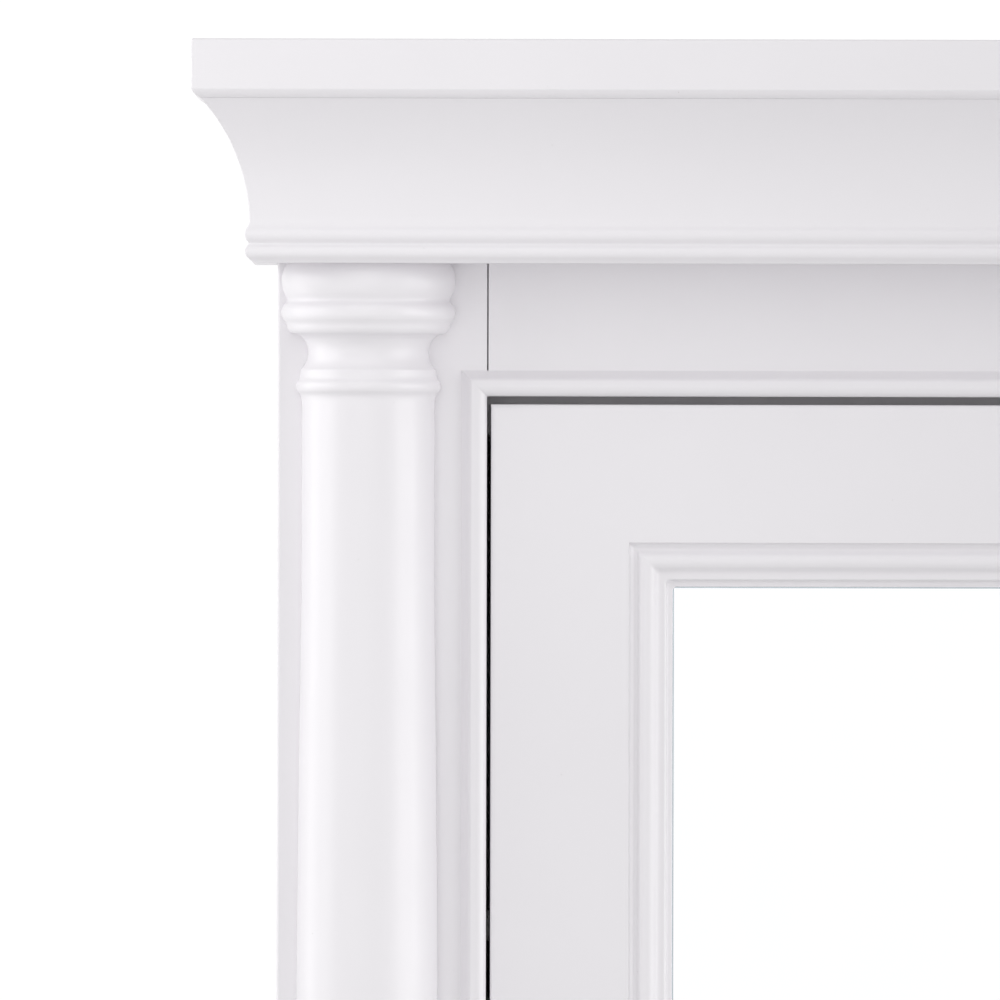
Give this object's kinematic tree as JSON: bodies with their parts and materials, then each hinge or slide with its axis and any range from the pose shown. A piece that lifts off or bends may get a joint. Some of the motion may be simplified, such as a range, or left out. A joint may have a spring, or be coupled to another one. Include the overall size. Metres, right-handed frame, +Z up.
{
  "type": "medicine cabinet",
  "caption": "White wall-hung medicine cabinet: mirrored door on butt hinges, turned half columns, cove-and-bead cornice, shelves inside.",
  "frame": {"origin": "centre of the four wall-screw holes, on the wall plane", "axes": "+Z up; +Y into the wall, so the mirror faces -Y; +X to the right of someone facing the cabinet, the side that the door's hinges are on"},
  "size_m": [0.61, 0.2025, 0.838],
  "materials": {
    "white_paint": "solid wood and fibreboard under sprayed satin white lacquer",
    "mirror": "silvered float glass",
    "backing_board": "bare hardboard",
    "nickel": "satin nickel plate",
    "screw_steel": "bright zinc plate",
    "catch_steel": "nickel-plated steel keeper faces",
    "catch_plastic": "moulded white nylon",
    "bumper_rubber": "translucent soft polyurethane, shown grey-white"
  },
  "bodies": {
    "cabinet": {"left_side_panel": "white_paint", "right_side_panel": "white_paint", "top_panel": "white_paint", "bottom_panel": "white_paint", "back_panel": "white_paint", "upper_hanging_rail": "white_paint", "lower_hanging_rail": "white_paint", "left_stile": "white_paint", "right_stile": "white_paint", "frieze_rail": "white_paint", "bottom_rail": "white_paint", "bead_strip_top": "white_paint", "bead_strip_bottom": "white_paint", "bead_strip_left": "white_paint", "bead_strip_right": "white_paint", "left_column": "white_paint", "right_column": "white_paint", "cornice_cap": "white_paint", "crown_front": "white_paint", "crown_left_return": "white_paint", "crown_right_return": "white_paint", "cornice_front_board": "white_paint", "cornice_soffit": "white_paint", "cornice_end_blocks": "white_paint", "base_board": "white_paint", "base_deck": "white_paint", "door_stop_strip": "white_paint", "upper_shelf": "white_paint", "lower_shelf": "white_paint", "door_bumpers": "bumper_rubber", "shelf_pins": "nickel", "magnetic_catch_housing": "catch_plastic", "catch_magnet": "catch_steel", "catch_screws": "screw_steel", "hinge_frame_leaf_upper": "nickel", "hinge_frame_leaf_lower": "nickel", "hinge_pin_upper": "nickel", "hinge_pin_lower": "nickel", "hinge_frame_screws": "nickel", "column_screws": "screw_steel", "base_screws": "screw_steel"},
    "door": {"door_left_stile": "white_paint", "door_right_stile": "white_paint", "door_top_rail": "white_paint", "door_bottom_rail": "white_paint", "mirror_moulding_top": "white_paint", "mirror_moulding_bottom": "white_paint", "mirror_moulding_left": "white_paint", "mirror_moulding_right": "white_paint", "mirror_retaining_beads": "white_paint", "mirror_glass": "mirror", "mirror_backing_board": "backing_board", "hinge_door_leaf_upper": "nickel", "hinge_door_leaf_lower": "nickel", "hinge_door_screws": "nickel", "door_knob": "nickel", "knob_screw": "screw_steel", "catch_strike_plate": "catch_steel", "strike_screw": "screw_steel"}
  },
  "joints": [
    {"name": "door_hinge", "type": "hinge", "parent": "cabinet", "child": "door", "pos_m": [0.1907, -0.1436, 0], "axis": [0, 0, 1], "range_deg": [0, 135]}
  ]
}
